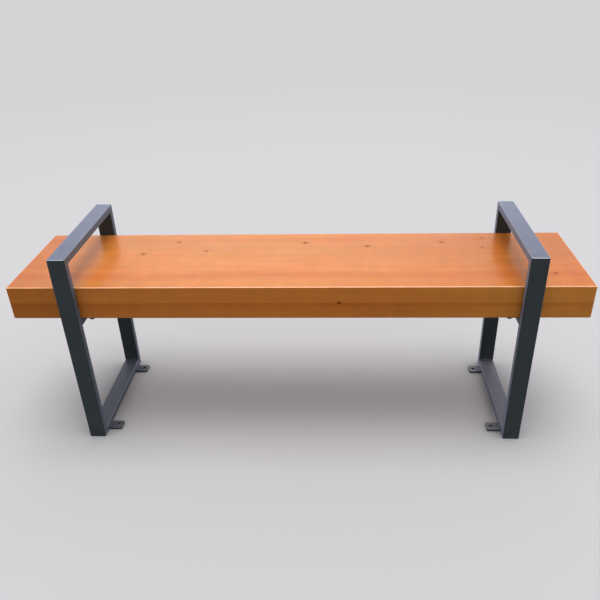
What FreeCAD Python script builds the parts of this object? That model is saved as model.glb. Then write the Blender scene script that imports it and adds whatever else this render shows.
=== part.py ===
import FreeCAD, Part
import math
import os

# Backless bench: a thick glued timber seat passes through two closed loops of flat steel tube, which stand
# on the ground and rise above the seat as armrests. Millimetres, +X along the seat, +Z up, the front of the
# bench faces -Y. The origin is on the ground under the centre of the bench.

# Seat: two layers of boards, glued face to face and edge to edge.
SEAT_LENGTH = 1500.0
SEAT_DEPTH = 330.0
SEAT_TOP = 480.0
LAYER_THICKNESS = 46.0
LAYER_COUNT = 2
SEAT_EDGE_RADIUS = 3.0
TOP_BOARDS = {
    "seat_top_front_board": 110.0,
    "seat_top_middle_board": 110.0,
    "seat_top_rear_board": 110.0,
}
# The bottom layer's joints fall in the middle of the top layer's boards.
BOTTOM_BOARDS = {
    "seat_bottom_front_board": 55.0,
    "seat_bottom_front_inner_board": 110.0,
    "seat_bottom_rear_inner_board": 110.0,
    "seat_bottom_rear_board": 55.0,
}

# End frames: rectangular tube, its wide side across the bench's length, mitred at the loop's corners.
TUBE_WIDTH = 45.0
TUBE_THICKNESS = 20.0
TUBE_WALL = 2.0
TUBE_EDGE_RADIUS = 2.0
GROUND_CORNER_RADIUS = 2.0
FRAME_HEIGHT = 570.0
FRAME_CENTRE_X = 592.0
SEAT_CLEARANCE = 2.0

# Fixing tabs: small plates welded to the inner side of the rails. Those on the foot rails take M10 ground
# anchors, those on the seat rails take the M8 screws that hold the seat.
TAB_THICKNESS = 5.0
TAB_CORNER_RADIUS = 5.0
GROUND_TAB = {"length": 38.0, "width": 32.0, "hole_radius": 5.5, "hole_x": 545.0, "hole_y": 140.0}
SEAT_TAB = {"length": 32.0, "width": 25.0, "hole_radius": 4.5, "hole_x": 550.0, "hole_y": 143.5}

# M8 coach screws with a plain washer, from below into the seat.
SCREW_LENGTH = 50.0
SCREW_RADIUS = 4.0
SCREW_TIP_LENGTH = 8.0
SCREW_TIP_RADIUS = 0.8
HEAD_ACROSS_FLATS = 13.0
HEAD_HEIGHT = 5.5
HEAD_CHAMFER_DEGREES = 30.0
WASHER_OUTER_RADIUS = 8.0
WASHER_HOLE_RADIUS = 4.25
WASHER_THICKNESS = 1.6
PILOT_CLEARANCE = 0.1
PILOT_EXTRA_DEPTH = 1.0

# Derived dimensions.
SEAT_THICKNESS = LAYER_COUNT * LAYER_THICKNESS
SEAT_BOTTOM = SEAT_TOP - SEAT_THICKNESS
GLUE_LINE = SEAT_TOP - LAYER_THICKNESS
FRAME_DEPTH = SEAT_DEPTH + 2 * (SEAT_CLEARANCE + TUBE_THICKNESS)
OUTER_Y = FRAME_DEPTH / 2
INNER_Y = OUTER_Y - TUBE_THICKNESS
TAB_ROOT_X = FRAME_CENTRE_X - TUBE_WIDTH / 2
LEFT = -1
RIGHT = 1
FRONT = -1
REAR = 1

# Cutting solids reach this far past what they cut.
OVERCUT = 5.0


def write(name, shape):
    shape.exportStep("parts/" + name + ".step")


def box(x_range, y_range, z_range):
    corner = FreeCAD.Vector(x_range[0], y_range[0], z_range[0])
    size = [high - low for low, high in (x_range, y_range, z_range)]
    return Part.makeBox(size[0], size[1], size[2], corner)


def prism_across(points, width):
    """A solid with the given outline in the YZ plane, as wide as asked along X and centred on x = 0."""
    corners = [FreeCAD.Vector(-width / 2, y, z) for y, z in points]
    face = Part.Face(Part.makePolygon(corners + corners[:1]))
    return face.extrude(FreeCAD.Vector(width, 0, 0))


def edges_along_x(shape):
    return [edge for edge in shape.Edges if abs(edge.tangentAt(edge.FirstParameter).x) > 0.999]


# ---------------------------------------------------------------------------------------------- seat


def seat_block():
    half_length = SEAT_LENGTH / 2
    half_depth = SEAT_DEPTH / 2
    block = box((-half_length, half_length), (-half_depth, half_depth), (SEAT_BOTTOM, SEAT_TOP))
    return block.makeFillet(SEAT_EDGE_RADIUS, block.Edges)


def pilot_holes():
    depth = SCREW_LENGTH - TAB_THICKNESS - WASHER_THICKNESS + PILOT_EXTRA_DEPTH
    radius = SCREW_RADIUS + PILOT_CLEARANCE
    holes = []
    for x, y in seat_screw_places():
        foot = FreeCAD.Vector(x, y, SEAT_BOTTOM - OVERCUT)
        holes.append(Part.makeCylinder(radius, depth + OVERCUT, foot))
    return Part.makeCompound(holes)


def cut_boards(block, widths, z_range):
    """Slices one layer of the seat into its boards, from the front edge to the rear one."""
    boards = {}
    low = -SEAT_DEPTH / 2
    for name, width in widths.items():
        slice_box = box((-SEAT_LENGTH, SEAT_LENGTH), (low, low + width), z_range)
        boards[name] = block.common(slice_box)
        low += width
    return boards


def seat_boards():
    block = seat_block()
    boards = cut_boards(block, TOP_BOARDS, (GLUE_LINE, SEAT_TOP))
    holes = pilot_holes()
    for name, board in cut_boards(block, BOTTOM_BOARDS, (SEAT_BOTTOM, GLUE_LINE)).items():
        boards[name] = board.cut(holes)
    return boards


# ---------------------------------------------------------------------------------------- end frames


def rounded_bar(width, thickness, length, radius):
    """A bar along +Z with its cross section centred on the Z axis: width along X, thickness along Y."""
    bar = box((-width / 2, width / 2), (-thickness / 2, thickness / 2), (0, length))
    long_edges = [edge for edge in bar.Edges if abs(edge.tangentAt(edge.FirstParameter).z) > 0.999]
    return bar.makeFillet(radius, long_edges)


def tube(length):
    """A hollow rectangular tube along +Z."""
    outside = rounded_bar(TUBE_WIDTH, TUBE_THICKNESS, length, TUBE_EDGE_RADIUS)
    inner_width = TUBE_WIDTH - 2 * TUBE_WALL
    inner_thickness = TUBE_THICKNESS - 2 * TUBE_WALL
    inner_radius = TUBE_EDGE_RADIUS / 2
    inside = rounded_bar(inner_width, inner_thickness, length + 2 * OVERCUT, inner_radius)
    inside.translate(FreeCAD.Vector(0, 0, -OVERCUT))
    return outside.cut(inside)


def upright_tube(side_y):
    bar = tube(FRAME_HEIGHT)
    bar.translate(FreeCAD.Vector(0, side_y * (OUTER_Y - TUBE_THICKNESS / 2), 0))
    return bar


def rail_tube(half_length, low_z):
    """A tube from front to rear, lying flat, with its lower side at low_z."""
    bar = tube(2 * half_length)
    bar.rotate(FreeCAD.Vector(0, 0, 0), FreeCAD.Vector(1, 0, 0), -90)
    bar.translate(FreeCAD.Vector(0, -half_length, low_z + TUBE_THICKNESS / 2))
    return bar


def mitre_upright(side_y):
    outer = side_y * OUTER_Y
    inner = side_y * INNER_Y
    top = FRAME_HEIGHT
    points = [(outer, 0), (outer, top), (inner, top - TUBE_THICKNESS), (inner, TUBE_THICKNESS)]
    return prism_across(points, TUBE_WIDTH + 2 * OVERCUT)


def mitre_rail(outer_z, inner_z):
    points = [(-OUTER_Y, outer_z), (OUTER_Y, outer_z), (INNER_Y, inner_z), (-INNER_Y, inner_z)]
    return prism_across(points, TUBE_WIDTH + 2 * OVERCUT)


def loop_outline():
    """The loop's outside, with its four welded corners dressed to a small radius."""
    width = TUBE_WIDTH + 2 * OVERCUT
    block = box((-width / 2, width / 2), (-OUTER_Y, OUTER_Y), (0, FRAME_HEIGHT))
    return block.makeFillet(GROUND_CORNER_RADIUS, edges_along_x(block))


def end_frame(side_name, centre_x):
    outline = loop_outline()
    lower_rail_z = 0
    upper_rail_z = FRAME_HEIGHT - TUBE_THICKNESS
    seat_rail_z = SEAT_BOTTOM - TUBE_THICKNESS
    foot_mitre = mitre_rail(0, TUBE_THICKNESS)
    armrest_mitre = mitre_rail(FRAME_HEIGHT, FRAME_HEIGHT - TUBE_THICKNESS)
    pieces = {
        "front_upright": upright_tube(FRONT).common(mitre_upright(FRONT)).common(outline),
        "rear_upright": upright_tube(REAR).common(mitre_upright(REAR)).common(outline),
        "foot_rail": rail_tube(OUTER_Y, lower_rail_z).common(foot_mitre).common(outline),
        "armrest": rail_tube(OUTER_Y, upper_rail_z).common(armrest_mitre).common(outline),
        "seat_rail": rail_tube(INNER_Y, seat_rail_z),
    }
    for piece in pieces.values():
        piece.translate(FreeCAD.Vector(centre_x, 0, 0))
    return {side_name + "_" + name: piece for name, piece in pieces.items()}


# -------------------------------------------------------------------------------------------- fixings


def seat_screw_places():
    places = []
    for side_x in (LEFT, RIGHT):
        for side_y in (FRONT, REAR):
            places.append((side_x * SEAT_TAB["hole_x"], side_y * SEAT_TAB["hole_y"]))
    return places


def fixing_tab(tab, side_x, side_y, low_z):
    """A plate welded to a rail's inner side, its two free corners rounded, with one fixing hole."""
    y_range = (-tab["width"] / 2, tab["width"] / 2)
    plate = box((TAB_ROOT_X - tab["length"], TAB_ROOT_X), y_range, (0, TAB_THICKNESS))
    free_corners = []
    for edge in plate.Edges:
        middle = edge.CenterOfMass
        upright = abs(edge.tangentAt(edge.FirstParameter).z) > 0.999
        if upright and middle.x < TAB_ROOT_X - tab["length"] / 2:
            free_corners.append(edge)
    plate = plate.makeFillet(TAB_CORNER_RADIUS, free_corners)
    hole_foot = FreeCAD.Vector(tab["hole_x"], 0, -OVERCUT)
    plate = plate.cut(Part.makeCylinder(tab["hole_radius"], TAB_THICKNESS + 2 * OVERCUT, hole_foot))
    if side_x == LEFT:
        plate.rotate(FreeCAD.Vector(0, 0, 0), FreeCAD.Vector(0, 0, 1), 180)
    plate.translate(FreeCAD.Vector(0, side_y * tab["hole_y"], low_z))
    return plate


def fixing_tabs(use, tab, low_z):
    tabs = {}
    for side_name, side_x in (("left", LEFT), ("right", RIGHT)):
        for end_name, side_y in (("front", FRONT), ("rear", REAR)):
            name = "_".join((side_name, end_name, use, "tab"))
            tabs[name] = fixing_tab(tab, side_x, side_y, low_z)
    return tabs


def hex_head():
    """A hexagon head from z = -HEAD_HEIGHT to 0, its lower corners chamfered to a circle."""
    corner_radius = HEAD_ACROSS_FLATS / 2 / math.cos(math.pi / 6)
    corners = []
    for corner in range(6):
        angle = corner * math.pi / 3
        x = corner_radius * math.cos(angle)
        y = corner_radius * math.sin(angle)
        corners.append(FreeCAD.Vector(x, y, -HEAD_HEIGHT))
    hexagon = Part.Face(Part.makePolygon(corners + corners[:1])).extrude(FreeCAD.Vector(0, 0, HEAD_HEIGHT))
    flat_radius = HEAD_ACROSS_FLATS / 2 * 0.95
    slope = math.tan(math.radians(HEAD_CHAMFER_DEGREES))
    wide_radius = flat_radius + HEAD_HEIGHT / slope
    cone_foot = FreeCAD.Vector(0, 0, -HEAD_HEIGHT)
    cone = Part.makeCone(flat_radius, wide_radius, HEAD_HEIGHT, cone_foot)
    return hexagon.common(cone)


def coach_screw():
    """A coach screw pointing up, the underside of its head at z = 0."""
    shank_length = SCREW_LENGTH - SCREW_TIP_LENGTH
    shank = Part.makeCylinder(SCREW_RADIUS, shank_length)
    tip_foot = FreeCAD.Vector(0, 0, shank_length)
    tip = Part.makeCone(SCREW_RADIUS, SCREW_TIP_RADIUS, SCREW_TIP_LENGTH, tip_foot)
    return hex_head().fuse(shank).fuse(tip).removeSplitter()


def washer():
    """A plain washer whose upper side is at z = 0."""
    foot = FreeCAD.Vector(0, 0, -WASHER_THICKNESS)
    disc = Part.makeCylinder(WASHER_OUTER_RADIUS, WASHER_THICKNESS, foot)
    hole_foot = FreeCAD.Vector(0, 0, -WASHER_THICKNESS - OVERCUT)
    return disc.cut(Part.makeCylinder(WASHER_HOLE_RADIUS, WASHER_THICKNESS + 2 * OVERCUT, hole_foot))


def at_seat_tabs(piece, height):
    copies = []
    for x, y in seat_screw_places():
        copy = piece.copy()
        copy.translate(FreeCAD.Vector(x, y, height))
        copies.append(copy)
    return Part.makeCompound(copies)


# ---------------------------------------------------------------------------------------------- bench


def bench():
    washer_top = SEAT_BOTTOM - TAB_THICKNESS
    pieces = {}
    pieces.update(seat_boards())
    pieces.update(end_frame("left", LEFT * FRAME_CENTRE_X))
    pieces.update(end_frame("right", RIGHT * FRAME_CENTRE_X))
    pieces.update(fixing_tabs("ground", GROUND_TAB, 0))
    pieces.update(fixing_tabs("seat", SEAT_TAB, washer_top))
    pieces["seat_washers"] = at_seat_tabs(washer(), washer_top)
    pieces["seat_screws"] = at_seat_tabs(coach_screw(), washer_top - WASHER_THICKNESS)
    return pieces


os.makedirs("parts", exist_ok=True)
for node, solid in bench().items():
    write(node, solid)
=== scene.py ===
import math

import bmesh
import bpy
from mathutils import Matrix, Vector


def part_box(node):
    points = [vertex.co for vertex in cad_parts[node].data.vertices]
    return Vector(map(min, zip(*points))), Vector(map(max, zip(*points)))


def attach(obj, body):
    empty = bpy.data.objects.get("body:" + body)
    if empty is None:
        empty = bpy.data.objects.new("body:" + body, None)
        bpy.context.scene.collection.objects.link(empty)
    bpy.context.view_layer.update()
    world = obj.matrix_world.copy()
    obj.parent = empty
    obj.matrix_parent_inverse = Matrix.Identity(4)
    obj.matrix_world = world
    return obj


# The looks of a backless bench: stained and varnished timber, powder-coated steel tube and black
# zinc-plated screws.
# Metres, in the CAD part's own frame: +X along the seat, +Z up, the front of the bench faces -Y.

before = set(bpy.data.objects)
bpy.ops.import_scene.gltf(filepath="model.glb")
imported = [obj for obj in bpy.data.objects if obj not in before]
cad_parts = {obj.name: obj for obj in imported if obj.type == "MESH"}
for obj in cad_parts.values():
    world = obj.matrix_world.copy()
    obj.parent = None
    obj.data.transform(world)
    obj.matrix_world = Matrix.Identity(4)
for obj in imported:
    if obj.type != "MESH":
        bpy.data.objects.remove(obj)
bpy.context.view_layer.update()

# ------------------------------------------------------------------------------------- driving values

# Camera: standing height, a little to the right of the bench's middle, looking down at it.
CAMERA_PLACE = (0.1101, -1.5623, 1.2504)
CAMERA_TURN_DEGREES = (60.658, 1.183, 1.804)
CAMERA_LENS_MM = 37.959
CAMERA_SENSOR_MM = 36.0
CAMERA_SHIFT = (-0.0271, -0.0124)

# Boards: how each one was sawn from its log, and how light it is. The pith is the log's centre line, given as
# its distance from the middle of the board along Y and Z at x = 0, and how far it drifts along Y and Z per
# metre of length. Rings are metres of wood per year.
BOARDS = {
    name: {"pith": pith, "drift": drift, "rings": rings, "tone": tone}
    for name, pith, drift, rings, tone in (
        ("seat_top_front_board", (0.012, -0.150), (0.006, 0.010), 0.0036, 1.02),
        ("seat_top_middle_board", (-0.022, -0.190), (-0.008, 0.012), 0.0042, 1.02),
        ("seat_top_rear_board", (0.030, 0.150), (0.005, -0.009), 0.0034, 0.98),
        ("seat_bottom_front_board", (0.050, 0.160), (0.004, 0.003), 0.0056, 0.96),
        ("seat_bottom_front_inner_board", (0.0, 0.110), (0.006, -0.007), 0.0045, 0.95),
        ("seat_bottom_rear_inner_board", (0.018, -0.095), (-0.005, 0.008), 0.0040, 0.98),
        ("seat_bottom_rear_board", (-0.050, 0.080), (0.004, 0.006), 0.0047, 0.95),
    )
}
# Rings: how far they wander off true circles in metres, the part of a ring over which it darkens, the part
# where it turns pale again, and how strongly rings show along the grain and on the sawn ends.
RING_WANDER = 0.012
DARK_PART_OF_RING = (0.25, 0.92)
END_OF_RING = (0.94, 1.0)
RINGS_ON_LONG_GRAIN = 0.11
RINGS_ON_END_GRAIN = 0.75
END_GRAIN_TONE = 0.70

# Marks in the wood: the cells per metre along X, Y and Z, the detail and the roughness of the noise that
# places them, the part of its range where they show, and the wood's tone at the two ends of that part.
MARKS = {
    "streaks": ((2.2, 130.0, 130.0), 3.0, 0.6, (0.30, 0.75), (0.97, 1.02)),
    "fibres": ((9.0, 900.0, 900.0), 2.0, 0.5, (0.30, 0.70), (0.96, 1.03)),
    "bands": ((1.1, 11.0, 11.0), 2.0, 0.5, (0.30, 0.70), (0.96, 1.04)),
    "dashes": ((22.0, 1500.0, 1500.0), 1.0, 0.5, (0.62, 0.74), (1.00, 0.88)),
    "blotches": ((32.0, 14.0, 14.0), 3.0, 0.5, (0.30, 0.70), (0.965, 1.025)),
}
COLOUR_PATCH_CELLS = (5.0, 24.0, 24.0)

# Streaks of redder heartwood that run the length of the seat: middle (y, z), half size (y, z), strength.
HEART_STREAKS = (
    ((-0.101, 0.479), (0.018, 0.012), 0.75),
    ((-0.050, 0.479), (0.009, 0.012), 0.30),
    ((0.022, 0.479), (0.008, 0.012), 0.20),
    ((0.121, 0.479), (0.013, 0.012), 0.42),
    ((-0.164, 0.430), (0.030, 0.012), 0.85),
    ((-0.164, 0.409), (0.020, 0.0036), 0.22),
    ((0.164, 0.445), (0.030, 0.006), 0.80),
    ((0.164, 0.405), (0.020, 0.005), 0.50),
    ((-0.040, 0.389), (0.012, 0.012), 0.50),
    ((0.085, 0.389), (0.010, 0.012), 0.40),
)
# How far the streaks wander, in half sizes.
HEART_WANDER = 1.4

# Pin knots on the seat's top (x, y) and on its front face (x, z): place, half length, half width, darkness.
TOP_KNOTS = (
    ((-0.445, 0.032), 0.0047, 0.0068, 0.70),
    ((-0.360, 0.110), 0.0040, 0.0074, 0.74),
    ((-0.268, 0.049), 0.0043, 0.0064, 0.68),
    ((0.010, 0.101), 0.0064, 0.0062, 0.78),
    ((0.188, 0.076), 0.0058, 0.0060, 0.80),
    ((0.402, 0.102), 0.0058, 0.0062, 0.72),
    ((0.522, 0.127), 0.0053, 0.0048, 0.68),
    ((0.511, 0.067), 0.0036, 0.0066, 0.52),
    ((0.668, -0.0925), 0.0044, 0.0062, 0.64),
)
FRONT_KNOTS = (
    ((0.1080, 0.4340), 0.0042, 0.0040, 1.00),
    ((0.1035, 0.4362), 0.0042, 0.0024, 0.50),
)
# A board carries the knots of the seat's top or front if it reaches this near to that face, in metres.
FACE_MARGIN = 0.01

# Colours, linear RGB. A shade multiplies the wood's colour; a span runs from the x where a shade starts to
# the x where it is full.
EARLYWOOD = (0.592, 0.230, 0.037)
LATEWOOD = (0.475, 0.152, 0.022)
REDDER_PATCH = (1.00, 0.975, 1.00)
YELLOWER_PATCH = (1.00, 1.025, 1.00)
# Darker towards the boards' ends, most on the top at the left end.
END_DARKENING = (0.91, 0.82, 0.78)
# A painted bluish sky reflection over the whole top of the seat.
TOP_PAINTED_SKY_TINT = (1.00, 1.01, 1.43)
# Painted shade on the right part of the seat's top, across TOP_RIGHT_SPAN.
TOP_RIGHT_PAINTED_SHADE = (0.92, 0.85, 0.72)
TOP_RIGHT_SPAN = (-0.10, 0.50)
# The front is drawn darker and redder towards its left end, and paler and greener towards its right end.
FRONT_LEFT_SHADE = (0.88, 0.88, 0.74)
FRONT_LEFT_SPAN = (-0.56, -0.68)
FRONT_RIGHT_SHADE = (1.04, 1.20, 1.28)
FRONT_RIGHT_SPAN = (0.15, 0.68)
HEARTWOOD_SHADE = (0.92, 0.72, 0.48)
# A painted highlight on the seat's rounded edges, mostly the upper ones.
PAINTED_EDGE_HIGHLIGHT_WOOD = (1.00, 0.62, 0.40)
KNOT_BROWN = (0.200, 0.045, 0.002)
GLUE_BROWN = (0.300, 0.100, 0.032)
GLUE_LINE_DARKNESS = 0.20
PAINT = (0.034, 0.048, 0.049)
PALER_PAINT = tuple(1.18 * part for part in PAINT)
SEAM_PAINT = tuple(0.55 * part for part in PAINT)
# A painted highlight on the tubes' upper edges, most on those that face the front.
PAINTED_EDGE_HIGHLIGHT_PAINT = (0.76, 0.78, 0.86)
DUST = (0.200, 0.190, 0.175)
# A painted bluish sky sheen on what looks up, stronger where it is seen at a low angle.
PAINTED_SKY_SHEEN = (0.270, 0.280, 0.360)
PAINTED_SKY_SHEEN_DEPTH = 0.12
# Painted light near the ground: how strongly the dust and the painted sky sheen show at the left and at the
# right, so the right foot rail looks more lit than the left.
LEFT_PAINTED_LIGHT_SHARE = 0.42
RIGHT_PAINTED_LIGHT_SHARE = 1.60
BLACK_ZINC = (0.070, 0.070, 0.075)
BROWNED_ZINC = (0.085, 0.070, 0.055)
BARE_ZINC_EDGE = (0.25, 0.25, 0.26)
FLOOR_GREY = (0.515, 0.508, 0.482)
FLOOR_MOTTLE_GREY = (0.5, 0.5, 0.5)
FLOOR_BOUNCE = 0.55
FLOOR_FADE = (1.3, 6.0)

# Surfaces: the depth of fine bumps in metres, and how the varnish and the paint shine.
FINE_BUMP = 0.0002
VARNISH_WEIGHT = (0.81, 0.93)
VARNISH_ROUGHNESS = (0.22, 0.28)
VARNISH_LOST_ON_KNOTS = 0.85
PAINT_ROUGHNESS = (0.38, 0.46)
SHEEN_TINT = (0.74, 0.78, 1.0)

# Welds, in metres: a bead's size, the length of one ripple, and how far a bead stays off its corner's ends.
BEAD_SIZE = 0.0032
BEAD_RIPPLE = 0.0022
BEAD_INSET = 0.003

# Light: what the room sends from each side, how much of it comes from high up at the left and at the right,
# and the overhead softbox, as a wide disc straight above.
FRONT_LIGHT_LOW = (0.20, 0.20, 0.21)
FRONT_LIGHT_HIGH = (0.88, 0.88, 0.97)
BACK_LIGHT = (1.32, 1.33, 1.44)
BACK_LIGHT_FAR_LEFT = (0.82, 0.82, 0.96)
BACK_LIGHT_FAR_RIGHT = (0.80, 0.76, 0.81)
SIDE_LIGHT = (1.65, 1.60, 1.75)
CEILING_LIGHT = (0.57, 0.59, 0.68)
HIGH_LEFT_SHARE = 0.70
HIGH_RIGHT_SHARE = 1.30
SOFTBOX_DEGREES = 40.0
SOFTBOX_STRENGTH = 1.36
BACKDROP_GREY = (0.578, 0.578, 0.582)
EXPOSURE = 0.30
GAMMA = 0.80

FRAME_SIDES = ("left", "right")


# ------------------------------------------------------------------------------------- shader helpers


class Shader:
    """Builds a node tree with short calls, most of which return the last new node's output socket."""

    def __init__(self, tree):
        tree.nodes.clear()
        self.tree = tree

    def feed(self, socket, value):
        if isinstance(value, bpy.types.NodeSocket):
            self.tree.links.new(value, socket)
        elif hasattr(socket.default_value, "__len__") and len(socket.default_value) == 4:
            socket.default_value = (*value, 1.0)
        else:
            socket.default_value = value

    def node(self, kind, inputs, **settings):
        made = self.tree.nodes.new("ShaderNode" + kind)
        for name, value in settings.items():
            setattr(made, name, value)
        for socket, value in inputs.items():
            self.feed(made.inputs[socket], value)
        return made

    def math(self, operation, *values):
        return self.node("Math", dict(enumerate(values)), operation=operation).outputs[0]

    def vector_math(self, operation, *values):
        return self.node("VectorMath", dict(enumerate(values)), operation=operation).outputs[0]

    def length(self, vector):
        return self.node("VectorMath", {0: vector}, operation="LENGTH").outputs["Value"]

    def step(self, value, low, high, to_low=0.0, to_high=1.0):
        """A smooth step from to_low at low to to_high at high; low may be above high."""
        inputs = {"Value": value, "From Min": low, "From Max": high, "To Min": to_low, "To Max": to_high}
        return self.node("MapRange", inputs, interpolation_type="SMOOTHSTEP").outputs[0]

    def blend(self, share, first, second):
        return self.node("Mix", {0: share, 6: first, 7: second}, data_type="RGBA").outputs[2]

    def blend_value(self, share, first, second):
        return self.node("Mix", {0: share, 2: first, 3: second}, data_type="FLOAT").outputs[0]

    def bell(self, *offsets):
        """1 where every offset is 0, falling off smoothly to about a third at a distance of 1."""
        places = list(offsets) + [0.0] * (3 - len(offsets))
        spread = self.length(self.join(*places))
        return self.math("POWER", math.e, self.math("MULTIPLY", self.math("MULTIPLY", spread, spread), -1.0))

    def noise(self, place, scale=1.0, detail=2.0, roughness=0.5):
        inputs = {"Vector": place, "Scale": scale, "Detail": detail, "Roughness": roughness}
        return self.node("TexNoise", inputs).outputs["Fac"]

    def scaled(self, place, scale):
        return self.vector_math("MULTIPLY", place, scale)

    def bump(self, height, strength, distance):
        inputs = {"Height": height, "Strength": strength, "Distance": distance}
        return self.node("Bump", inputs).outputs[0]

    def object_place(self):
        return self.node("TexCoord", {}).outputs["Object"]

    def normal(self):
        return self.node("NewGeometry", {}).outputs["Normal"]

    def split(self, vector):
        return self.node("SeparateXYZ", {0: vector}).outputs

    def join(self, x, y, z):
        return self.node("CombineXYZ", {0: x, 1: y, 2: z}).outputs[0]

    def toned(self, colour, tone):
        """The colour times the number tone."""
        return self.vector_math("MULTIPLY", colour, self.join(tone, tone, tone))

    def rounded_edge(self, radius, start, end):
        """1 on edges sharper than the radius, 0 on flat faces."""
        soft = self.node("Bevel", {"Radius": radius}, samples=6).outputs[0]
        product = self.node("VectorMath", {0: soft, 1: self.normal()}, operation="DOT_PRODUCT")
        return self.step(product.outputs["Value"], start, end)

    def off_axis(self):
        """1 on rounded edges between faces that look along an axis, 0 on those faces."""
        x, y, z = [self.math("ABSOLUTE", part) for part in self.split(self.normal())[:3]]
        most = self.math("MAXIMUM", self.math("MAXIMUM", x, y), z)
        return self.step(most, 0.995, 0.95)

    def finish(self, inputs):
        surface = self.node("BsdfPrincipled", inputs)
        self.node("OutputMaterial", {"Surface": surface.outputs[0]})


def new_material(name):
    material = bpy.data.materials.new(name)
    material.use_nodes = True
    return material, Shader(material.node_tree)


def use_material(piece, material):
    piece.data.materials.clear()
    piece.data.materials.append(material)


# ------------------------------------------------------------------------------------------- the wood


def knot_terms(s, place, along, across, knots):
    """How dark the knots are at a point, and how far the grain is pushed aside around them."""
    uneven = s.noise(place, scale=170.0, detail=2.0)
    darkness = 0.0
    push = 0.0
    for (knot_x, knot_across), half_length, half_width, depth in knots:
        step_x = s.math("DIVIDE", s.math("SUBTRACT", along, knot_x), half_length)
        step_across = s.math("DIVIDE", s.math("SUBTRACT", across, knot_across), half_width)
        spread = s.math("MULTIPLY_ADD", uneven, 0.5, s.length(s.join(step_x, step_across, 0.0)))
        # A dark core with fine rings of its own, and a fainter tail along the grain.
        core = s.step(spread, 1.45, 1.0)
        rings = s.math("SINE", s.math("MULTIPLY", spread, 13.0))
        core = s.math("MULTIPLY", core, s.math("MULTIPLY_ADD", rings, 0.18, 0.82))
        tail = s.bell(s.math("DIVIDE", step_x, 2.4), s.math("DIVIDE", step_across, 0.9))
        spot = s.math("MULTIPLY", s.math("MAXIMUM", core, s.math("MULTIPLY", tail, 0.32)), depth)
        darkness = s.math("MAXIMUM", darkness, spot)
        # The grain flows around the knot well beyond it.
        swirl = s.bell(s.math("DIVIDE", step_x, 5.0), s.math("DIVIDE", step_across, 2.5))
        push = s.math("MULTIPLY_ADD", swirl, half_width * 1.3, push)
    return darkness, push


def heart_streaks(s, place, box):
    """0 to 1 inside the board's own redder streaks, which wander a little as they run along the seat."""
    low, high = box
    y, z = s.split(place)[1:3]
    wander = s.noise(s.scaled(place, (1.7, 3.0, 3.0)), detail=2.0)
    wander = s.math("MULTIPLY", s.math("SUBTRACT", wander, 0.5), HEART_WANDER)
    total = 0.0
    for (middle_y, middle_z), (half_y, half_z), strength in HEART_STREAKS:
        if not (low.y < middle_y < high.y and low.z < middle_z < high.z):
            continue
        step_y = s.math("DIVIDE", s.math("SUBTRACT", y, middle_y), half_y)
        step_z = s.math("DIVIDE", s.math("SUBTRACT", z, middle_z), half_z)
        streak = s.bell(s.math("ADD", step_y, wander), s.math("ADD", step_z, s.math("MULTIPLY", wander, 0.5)))
        total = s.math("MULTIPLY_ADD", streak, strength, total)
    patchy = s.noise(s.scaled(place, (4.0, 60.0, 60.0)), detail=2.0)
    return s.math("MULTIPLY", s.math("MINIMUM", total, 1.0), s.step(patchy, 0.25, 0.65, 0.65, 1.0))


def growth_rings(s, place, board, box, push):
    """0 in pale earlywood to 1 in dark latewood, for a board sawn from a log of concentric rings."""
    low, high = box
    middle = (low + high) / 2
    wander = s.noise(s.scaled(place, (1.3, 7.0, 7.0)), detail=3.0)
    wander = s.math("MULTIPLY", s.math("SUBTRACT", wander, 0.5), RING_WANDER)
    x, y, z = s.split(place)[:3]
    centre = [middle.y + board["pith"][0], middle.z + board["pith"][1]]
    from_pith = []
    for value, start, drift in zip((y, z), centre, board["drift"]):
        pith = s.math("MULTIPLY_ADD", x, drift, start)
        from_pith.append(s.math("SUBTRACT", value, pith))
    radius = s.length(s.join(0.0, *from_pith))
    radius = s.math("ADD", s.math("ADD", radius, wander), push)
    count = s.math("DIVIDE", radius, board["rings"])
    # Good and bad years: the rings are unevenly wide, in another way in each board.
    uneven = s.noise(s.join(s.math("MULTIPLY", count, 0.45), 0.0, middle.y * 40), detail=1.0)
    count = s.math("ADD", count, s.math("MULTIPLY", uneven, 1.6))
    share = s.math("FRACT", count)
    darkening = s.step(share, *DARK_PART_OF_RING)
    end_of_year = s.step(share, *END_OF_RING, 1.0, 0.0)
    return s.math("MULTIPLY", darkening, end_of_year)


def glue_lines(s, place, box, seat_box):
    """1 on the thin lines where the board meets its neighbours."""
    low, high = box
    seat_low, seat_high = seat_box
    line = 0.0
    for axis in (1, 2):
        value = s.split(place)[axis]
        for face, seat_face in ((low[axis], seat_low[axis]), (high[axis], seat_high[axis])):
            if abs(face - seat_face) < 0.001:
                continue
            away = s.math("ABSOLUTE", s.math("SUBTRACT", value, face))
            line = s.math("MAXIMUM", line, s.step(away, 0.0007, 0.0002))
    return line


def tinted(s, colour, share, shade):
    """The colour, changed towards colour times shade where share is 1."""
    return s.blend(share, colour, s.vector_math("MULTIPLY", colour, shade))


def knots_in_board(s, place, box, seat_box, front_face):
    """The darkness of the knots on this board's top and front, and their push on the grain."""
    low, high = box
    seat_low, seat_high = seat_box
    x, y, z = s.split(place)[:3]
    at_top = high.z > seat_high.z - FACE_MARGIN
    on_top = [knot for knot in TOP_KNOTS if at_top and low.y <= knot[0][1] < high.y]
    knot, push = knot_terms(s, place, x, y, on_top)
    if low.y < seat_low.y + FACE_MARGIN:
        front_knot, front_push = knot_terms(s, place, x, z, FRONT_KNOTS)
        knot = s.blend_value(front_face, knot, front_knot)
        push = s.blend_value(front_face, push, front_push)
    return knot, push


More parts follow.
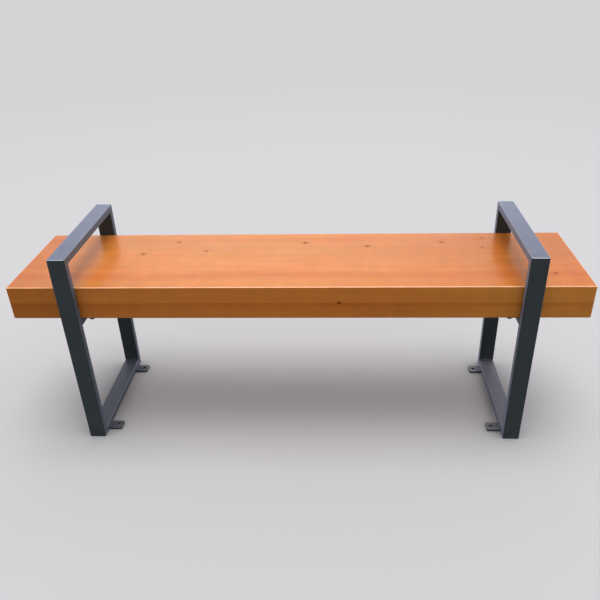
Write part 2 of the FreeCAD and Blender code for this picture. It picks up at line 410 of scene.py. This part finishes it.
def wood_marks(s, place):
    """The noise behind each kind of mark, by name, and the tone that the marks give the wood together."""
    noises = {}
    tone = 1.0
    for name, (cells, detail, roughness, shows, tones) in MARKS.items():
        noises[name] = s.noise(s.scaled(place, cells), detail=detail, roughness=roughness)
        tone = s.math("MULTIPLY", tone, s.step(noises[name], *shows, *tones))
    return noises, tone


def darker_ends(s, x, board_end, bands, front_face):
    """0 to 1 near the board's ends, where the wood is drawn darker, least at the right and in front."""
    from_end = s.math("SUBTRACT", board_end, s.math("ABSOLUTE", x))
    end_share = s.step(s.math("MULTIPLY_ADD", bands, 0.05, from_end), 0.15, 0.06)
    end_share = s.math("MULTIPLY", end_share, s.step(front_face, 0.0, 1.0, 1.0, 0.35))
    return s.math("MULTIPLY", end_share, s.step(x, -0.5, 0.5, 1.0, 0.35))


def face_shades(s, colour, x, front_face, top_face):
    """Painted light on the top: a bluish painted sky reflection all over it and painted shade on its right
    part. The front is darker and redder towards its left end, paler and greener towards its right end.
    """
    # Painted sky reflection on the top, then painted shade on its right part, then the front's two end tints.
    colour = tinted(s, colour, top_face, TOP_PAINTED_SKY_TINT)
    for face, span, shade in (
        (top_face, TOP_RIGHT_SPAN, TOP_RIGHT_PAINTED_SHADE),
        (front_face, FRONT_LEFT_SPAN, FRONT_LEFT_SHADE),
        (front_face, FRONT_RIGHT_SPAN, FRONT_RIGHT_SHADE),
    ):
        colour = tinted(s, colour, s.math("MULTIPLY", face, s.step(x, *span)), shade)
    return colour


def wood_edge_highlight(s, place, up):
    """0 to 1 on the seat's rounded edges, mostly on the upper ones, where a painted highlight lightens the
    wood.
    """
    wood_highlight = s.math("MULTIPLY", s.off_axis(), s.step(up, 0.25, 0.60, 0.10, 0.90))
    uneven = s.noise(place, scale=45.0, detail=3.0)
    return s.math("MULTIPLY", wood_highlight, s.step(uneven, 0.3, 0.6, 0.75, 1.0))


def varnish(s, place, height, bands, knot):
    """The glossy coat: a little cloudy, rippled over the grain, and mostly lost on the knots."""
    ripple = s.noise(s.scaled(place, (60.0, 110.0, 110.0)), detail=2.0)
    film = s.math("ADD", s.math("MULTIPLY", height, 0.25), ripple)
    clouds = s.noise(s.scaled(place, (6.0, 12.0, 12.0)), detail=3.0)
    weight = s.step(clouds, 0.35, 0.65, *VARNISH_WEIGHT)
    return {
        "Coat Weight": s.math("MULTIPLY_ADD", knot, -VARNISH_LOST_ON_KNOTS, weight),
        "Coat Roughness": s.step(bands, 0.25, 0.75, *VARNISH_ROUGHNESS),
        "Coat IOR": 1.46,
        "Coat Normal": s.bump(film, 0.08, FINE_BUMP),
    }


def wood_material(name, seat_box):
    """One board of the seat: its own rings, marks and knots under stain and varnish."""
    board = BOARDS[name]
    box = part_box(name)
    material, s = new_material(name + "_wood")
    place = s.object_place()
    x = s.split(place)[0]
    facing = s.split(s.normal())
    end_face = s.step(s.math("ABSOLUTE", facing[0]), 0.6, 0.85)
    front_face = s.step(facing[1], -0.6, -0.8)
    top_face = s.step(facing[2], 0.6, 0.8)

    knot, push = knots_in_board(s, place, box, seat_box, front_face)
    rings = growth_rings(s, place, board, box, push)
    noises, tone = wood_marks(s, place)
    tone = s.math("MULTIPLY", tone, board["tone"])
    tone = s.math("MULTIPLY", tone, s.step(end_face, 0.0, 1.0, 1.0, END_GRAIN_TONE))
    bands = noises["bands"]

    ring_depth = s.step(end_face, 0.0, 1.0, RINGS_ON_LONG_GRAIN, RINGS_ON_END_GRAIN)
    colour = s.blend(s.math("MULTIPLY", rings, ring_depth), EARLYWOOD, LATEWOOD)
    colour = s.toned(colour, tone)
    patches = s.noise(s.scaled(place, COLOUR_PATCH_CELLS), detail=3.0)
    patch_shade = s.blend(s.step(patches, 0.32, 0.68), REDDER_PATCH, YELLOWER_PATCH)
    colour = s.vector_math("MULTIPLY", colour, patch_shade)
    colour = tinted(s, colour, darker_ends(s, x, box[1].x, bands, front_face), END_DARKENING)
    colour = face_shades(s, colour, x, front_face, top_face)
    colour = tinted(s, colour, heart_streaks(s, place, box), HEARTWOOD_SHADE)
    glue = s.math("MULTIPLY", glue_lines(s, place, box, seat_box), GLUE_LINE_DARKNESS)
    colour = s.blend(glue, colour, GLUE_BROWN)
    # Painted highlight on the rounded edges.
    colour = s.blend(wood_edge_highlight(s, place, facing[2]), colour, PAINTED_EDGE_HIGHLIGHT_WOOD)
    colour = s.blend(knot, colour, KNOT_BROWN)

    height = s.math("ADD", s.math("MULTIPLY", rings, 0.35), s.math("MULTIPLY", noises["fibres"], 0.65))
    s.finish(
        {
            "Base Color": colour,
            "Roughness": 0.55,
            "Specular IOR Level": 0.05,
            "Normal": s.bump(height, 0.25, FINE_BUMP),
            **varnish(s, place, height, bands, knot),
        }
    )
    return material


# ------------------------------------------------------------------------------------------ the steel


def mitre_seam(s, place):
    """1 on the ground-down welds along the mitres at the corners of the end frames."""
    low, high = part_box("left_foot_rail")[0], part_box("left_armrest")[1]
    y, z = s.split(place)[1:3]
    across = s.math("ABSOLUTE", y)
    top = s.math("SUBTRACT", s.math("SUBTRACT", across, z), high.y - high.z)
    foot = s.math("SUBTRACT", s.math("ADD", across, z), high.y + low.z)
    away = s.math("MINIMUM", s.math("ABSOLUTE", top), s.math("ABSOLUTE", foot))
    uneven = s.noise(place, scale=350.0, detail=2.0)
    return s.step(s.math("MULTIPLY_ADD", uneven, 0.0012, away), 0.0022, 0.0008)


def tube_edge_highlight(s, patchiness):
    """0 to 1 on the tubes' upper edges, most on those that face the front: a painted highlight."""
    facing = s.split(s.normal())
    looks_up = s.step(facing[2], 0.08, 0.35)
    looks_ahead = s.step(facing[1], -0.1, -0.4, 0.25, 0.95)
    tube_highlight = s.math("MULTIPLY", s.math("MULTIPLY", s.off_axis(), looks_up), looks_ahead)
    return s.math("MULTIPLY", tube_highlight, s.step(patchiness, 0.3, 0.6, 0.75, 1.0))


def dust_and_sheen(s, colour, place, patchiness):
    """The colour under dust near the ground, and under a painted bluish sky sheen on what looks up, stronger
    at low view angles; painted light makes both stronger at the right near the ground.
    """
    x, height = s.split(place)[0], s.split(place)[2]
    up = s.split(s.normal())[2]
    # Painted light: the right foot rail lighter and the left one darker.
    painted_light_by_side = s.step(x, -0.5, 0.5, LEFT_PAINTED_LIGHT_SHARE, RIGHT_PAINTED_LIGHT_SHARE)
    painted_light_by_side = s.blend_value(s.step(height, 0.25, 0.10), 1.0, painted_light_by_side)
    near_ground = s.math("MULTIPLY", s.step(height, 0.16, 0.0, 0.04, 0.40), painted_light_by_side)
    settled = s.math("MULTIPLY", s.step(up, 0.3, 0.95), near_ground)
    settled = s.math("MULTIPLY", settled, s.step(patchiness, 0.3, 0.7, 0.5, 1.0))
    splash = s.math("MULTIPLY", s.step(height, 0.09, 0.0, 0.0, 0.20), s.step(patchiness, 0.45, 0.65))

    # Painted sky sheen, thicker the lower the view angle.
    view = s.math("SUBTRACT", 1.0, s.node("LayerWeight", {"Blend": 0.5}).outputs["Facing"])
    depth = s.math("MULTIPLY", s.step(up, 0.5, 0.95), PAINTED_SKY_SHEEN_DEPTH)
    film = s.math("DIVIDE", depth, s.math("MAXIMUM", view, 0.1))
    film = s.math("MULTIPLY", film, painted_light_by_side)
    film = s.math("MULTIPLY", film, s.step(patchiness, 0.25, 0.7, 0.85, 1.1))
    colour = s.blend(film, colour, PAINTED_SKY_SHEEN)
    return s.blend(s.math("MAXIMUM", settled, splash), colour, DUST)


def paint_material(name, highlights_and_seams):
    """Anthracite powder coat with its fine texture; the tubes also have painted highlights on their upper
    edges, and mitre seams.
    """
    material, s = new_material(name)
    place = s.object_place()
    cloud = s.noise(place, scale=9.0, detail=3.0)
    patchiness = s.noise(place, scale=60.0, detail=4.0, roughness=0.7)
    grain = s.noise(place, scale=1500.0, detail=2.0)
    peel = s.noise(place, scale=260.0, detail=2.0)

    colour = s.blend(s.step(cloud, 0.3, 0.7), PAINT, PALER_PAINT)
    if highlights_and_seams:
        # Painted highlight on the tubes' upper edges.
        colour = s.blend(tube_edge_highlight(s, patchiness), colour, PAINTED_EDGE_HIGHLIGHT_PAINT)
    colour = dust_and_sheen(s, colour, place, patchiness)
    texture = s.math("ADD", s.math("MULTIPLY", grain, 0.5), peel)
    if highlights_and_seams:
        seam = mitre_seam(s, place)
        texture = s.math("MULTIPLY_ADD", seam, 1.6, texture)
        colour = s.blend(s.math("MULTIPLY", seam, 0.25), colour, SEAM_PAINT)
    s.finish(
        {
            "Base Color": colour,
            "Roughness": s.step(cloud, 0.3, 0.7, *PAINT_ROUGHNESS),
            "IOR": 1.60,
            "Normal": s.bump(texture, 0.30, FINE_BUMP),
            "Sheen Weight": 1.0,
            "Sheen Roughness": 0.35,
            "Sheen Tint": SHEEN_TINT,
        }
    )
    return material


def black_zinc_material():
    """Black zinc plating: thin and even, a little browner where it has been handled."""
    material, s = new_material("black_zinc_plating")
    place = s.object_place()
    mottle = s.noise(place, scale=420.0, detail=3.0)
    stain = s.noise(place, scale=120.0, detail=3.0)
    colour = s.blend(s.step(stain, 0.45, 0.75, 0.0, 0.6), BLACK_ZINC, BROWNED_ZINC)
    edge = s.rounded_edge(0.0008, 0.99, 0.88)
    colour = s.blend(s.math("MULTIPLY", edge, 0.5), colour, BARE_ZINC_EDGE)
    s.finish(
        {
            "Base Color": colour,
            "Metallic": 0.9,
            "Roughness": s.step(mottle, 0.3, 0.7, 0.32, 0.48),
            "Normal": s.bump(mottle, 0.2, 0.0001),
        }
    )
    return material


# ------------------------------------------------------------------------------------------ the welds


def weld_bead(mesh, start, end, first_leg, second_leg):
    """A fillet weld along the inner corner from start to end, with the ripples of its passes."""
    steps_per_ripple = 6
    arc_points = 6
    run = end - start
    steps = max(8, round(run.length / BEAD_RIPPLE) * steps_per_ripple)
    sunk = 0.15 * BEAD_SIZE
    rings = []
    for step in range(steps + 1):
        share = step / steps
        phase = share * run.length / BEAD_RIPPLE
        saw = phase - math.floor(phase)
        swell = 1.0 + 0.10 * math.sin(math.pi * saw)
        wobble = 1.0 + 0.06 * math.sin(phase * 0.9) + 0.04 * math.sin(phase * 2.3 + 1.0)
        end_distance = min(share, 1 - share) * run.length
        taper = min(1.0, math.sqrt(max(end_distance, 0.0) / BEAD_SIZE) + 0.15)
        leg = BEAD_SIZE * swell * wobble * taper
        ring = []
        for point in range(arc_points + 1):
            angle = point / arc_points * math.pi / 2
            bulge = leg * (0.72 + 0.28 * abs(math.cos(2 * angle)))
            lag = -0.35 * BEAD_RIPPLE * math.sin(2 * angle) * taper
            offset = first_leg * (bulge * math.cos(angle)) + second_leg * (bulge * math.sin(angle))
            ring.append(mesh.verts.new(start + run * share + run.normalized() * lag + offset))
        root = -(first_leg + second_leg) * sunk
        ring.append(mesh.verts.new(start + run * share + root))
        rings.append(ring)
    for before, after in zip(rings, rings[1:]):
        for index in range(len(before)):
            following = (index + 1) % len(before)
            mesh.faces.new((before[index], before[following], after[following], after[index]))
    mesh.faces.new(reversed(rings[0]))
    mesh.faces.new(rings[-1])


def bead_lines(side):
    """Where the beads of one end frame run: (start, end, leg direction, other leg direction)."""
    up = Vector((0, 0, 1))
    lines = []
    foot_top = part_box(side + "_foot_rail")[1].z
    arm_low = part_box(side + "_armrest")[0].z
    rail_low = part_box(side + "_seat_rail")[0].z
    for end in ("front", "rear"):
        low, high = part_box(f"{side}_{end}_upright")
        inner = Vector((0, 1, 0)) if end == "front" else Vector((0, -1, 0))
        face_y = high.y if end == "front" else low.y
        for z, leg in ((foot_top, up), (arm_low, -up), (rail_low, -up)):
            start = Vector((low.x + BEAD_INSET, face_y, z))
            stop = Vector((high.x - BEAD_INSET, face_y, z))
            lines.append((start, stop, inner, leg))
        for use in ("ground", "seat"):
            tab_low, tab_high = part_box(f"{side}_{end}_{use}_tab")
            root_x = tab_high.x if side == "right" else tab_low.x
            leg_x = Vector((-1, 0, 0)) if side == "right" else Vector((1, 0, 0))
            z = tab_high.z if use == "ground" else tab_low.z
            leg_z = up if use == "ground" else -up
            start = Vector((root_x, tab_low.y + BEAD_INSET / 2, z))
            stop = Vector((root_x, tab_high.y - BEAD_INSET / 2, z))
            lines.append((start, stop, leg_x, leg_z))
    return lines


def weld_pieces(material):
    for side in FRAME_SIDES:
        mesh = bmesh.new()
        for start, stop, first_leg, second_leg in bead_lines(side):
            weld_bead(mesh, start, stop, first_leg, second_leg)
        bmesh.ops.recalc_face_normals(mesh, faces=mesh.faces)
        name = side + "_frame_welds"
        data = bpy.data.meshes.new(name)
        mesh.to_mesh(data)
        mesh.free()
        data.shade_smooth()
        piece = bpy.data.objects.new(name, data)
        bpy.context.scene.collection.objects.link(piece)
        use_material(piece, material)
        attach(piece, "root")


# ------------------------------------------------------------------------------------------- the stage


def floor():
    """A pale floor that throws little light back up, fades into the backdrop and is clear from below."""
    half = 40.0  # metres, far enough to meet the backdrop
    data = bpy.data.meshes.new("studio_floor")
    corners = [(-half, -half, 0), (half, -half, 0), (half, half, 0), (-half, half, 0)]
    data.from_pydata(corners, [], [(0, 1, 2, 3)])
    piece = bpy.data.objects.new("studio_floor", data)
    piece.location.z = -0.0005
    bpy.context.scene.collection.objects.link(piece)

    material, s = new_material("studio_floor")
    place = s.object_place()
    mottle = s.noise(place, scale=3.0, detail=4.0)
    colour = s.blend(s.step(mottle, 0.3, 0.7, 0.0, 0.04), FLOOR_GREY, FLOOR_MOTTLE_GREY)
    camera_ray = s.node("LightPath", {}).outputs["Is Camera Ray"]
    colour = s.toned(colour, s.blend_value(camera_ray, FLOOR_BOUNCE, 1.0))
    near = s.node("BsdfDiffuse", {"Color": colour}).outputs[0]
    far = s.node("Emission", {"Color": BACKDROP_GREY}).outputs[0]
    fade = s.math("MULTIPLY", s.step(s.length(place), *FLOOR_FADE), camera_ray)
    seen = s.node("MixShader", {0: fade, 1: near, 2: far}).outputs[0]
    from_below = s.node("NewGeometry", {}).outputs["Backfacing"]
    clear = s.node("BsdfTransparent", {}).outputs[0]
    see_through = s.math("MULTIPLY", from_below, camera_ray)
    surface = s.node("MixShader", {0: see_through, 1: seen, 2: clear}).outputs[0]
    s.node("OutputMaterial", {"Surface": surface})
    use_material(piece, material)


def surroundings():
    """The room's own light: bright behind the bench, dim in front of it, an even grey to the camera."""
    world = bpy.data.worlds.new("studio")
    world.use_nodes = True
    bpy.context.scene.world = world
    s = Shader(world.node_tree)
    direction = s.node("TexCoord", {}).outputs["Generated"]
    x, y, z = s.split(direction)[:3]
    behind = s.step(y, -0.45, 0.55)
    overhead = s.step(z, 0.42, 0.78)
    back_light = s.blend(s.step(x, -0.22, -0.50), BACK_LIGHT, BACK_LIGHT_FAR_LEFT)
    back_light = s.blend(s.step(x, 0.08, 0.50), back_light, BACK_LIGHT_FAR_RIGHT)
    front_light = s.blend(s.step(z, 0.05, 0.42), FRONT_LIGHT_LOW, FRONT_LIGHT_HIGH)
    walls = s.blend(behind, front_light, back_light)
    beside = s.math("MULTIPLY", s.step(s.math("ABSOLUTE", x), 0.60, 0.85), s.step(z, 0.0, 0.10))
    beside = s.math("MULTIPLY", beside, s.step(y, -0.45, 0.0))
    light = s.blend(overhead, s.blend(beside, walls, SIDE_LIGHT), CEILING_LIGHT)
    brighter_right = s.step(x, -0.40, 0.30, HIGH_LEFT_SHARE, HIGH_RIGHT_SHARE)
    light = s.toned(light, s.blend_value(s.step(z, 0.45, 0.60), 1.0, brighter_right))
    camera_ray = s.node("LightPath", {}).outputs["Is Camera Ray"]
    colour = s.blend(camera_ray, light, BACKDROP_GREY)
    background = s.node("Background", {"Color": colour, "Strength": 1.0}).outputs[0]
    s.node("OutputWorld", {"Surface": background})


def softbox():
    data = bpy.data.lights.new("softbox", "SUN")
    data.angle = math.radians(SOFTBOX_DEGREES)
    data.energy = SOFTBOX_STRENGTH
    light = bpy.data.objects.new("softbox", data)
    light.location = (0.0, 0.0, 3.0)
    bpy.context.scene.collection.objects.link(light)


def studio():
    floor()
    surroundings()
    softbox()
    look = bpy.context.scene.view_settings
    look.view_transform = "Standard"
    look.exposure = EXPOSURE
    look.gamma = GAMMA


def camera():
    data = bpy.data.cameras.new("camera")
    data.lens = CAMERA_LENS_MM
    data.sensor_width = CAMERA_SENSOR_MM
    data.shift_x, data.shift_y = CAMERA_SHIFT
    piece = bpy.data.objects.new("camera", data)
    piece.location = CAMERA_PLACE
    piece.rotation_euler = [math.radians(angle) for angle in CAMERA_TURN_DEGREES]
    bpy.context.scene.collection.objects.link(piece)
    bpy.context.scene.camera = piece


# ------------------------------------------------------------------------------------------- the bench


def seat_box():
    boxes = [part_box(name) for name in BOARDS]
    low = Vector([min(box[0][axis] for box in boxes) for axis in range(3)])
    high = Vector([max(box[1][axis] for box in boxes) for axis in range(3)])
    return low, high


def dress_bench():
    whole_seat = seat_box()
    for name in BOARDS:
        use_material(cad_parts[name], wood_material(name, whole_seat))
    tube_paint = paint_material("anthracite_powder_coat", highlights_and_seams=True)
    detail_paint = paint_material("anthracite_powder_coat_on_small_parts", highlights_and_seams=False)
    black_zinc = black_zinc_material()
    for name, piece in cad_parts.items():
        if name in ("seat_screws", "seat_washers"):
            use_material(piece, black_zinc)
        elif name.endswith("_tab"):
            use_material(piece, detail_paint)
        elif name not in BOARDS:
            use_material(piece, tube_paint)
    weld_pieces(detail_paint)


dress_bench()
studio()
camera()
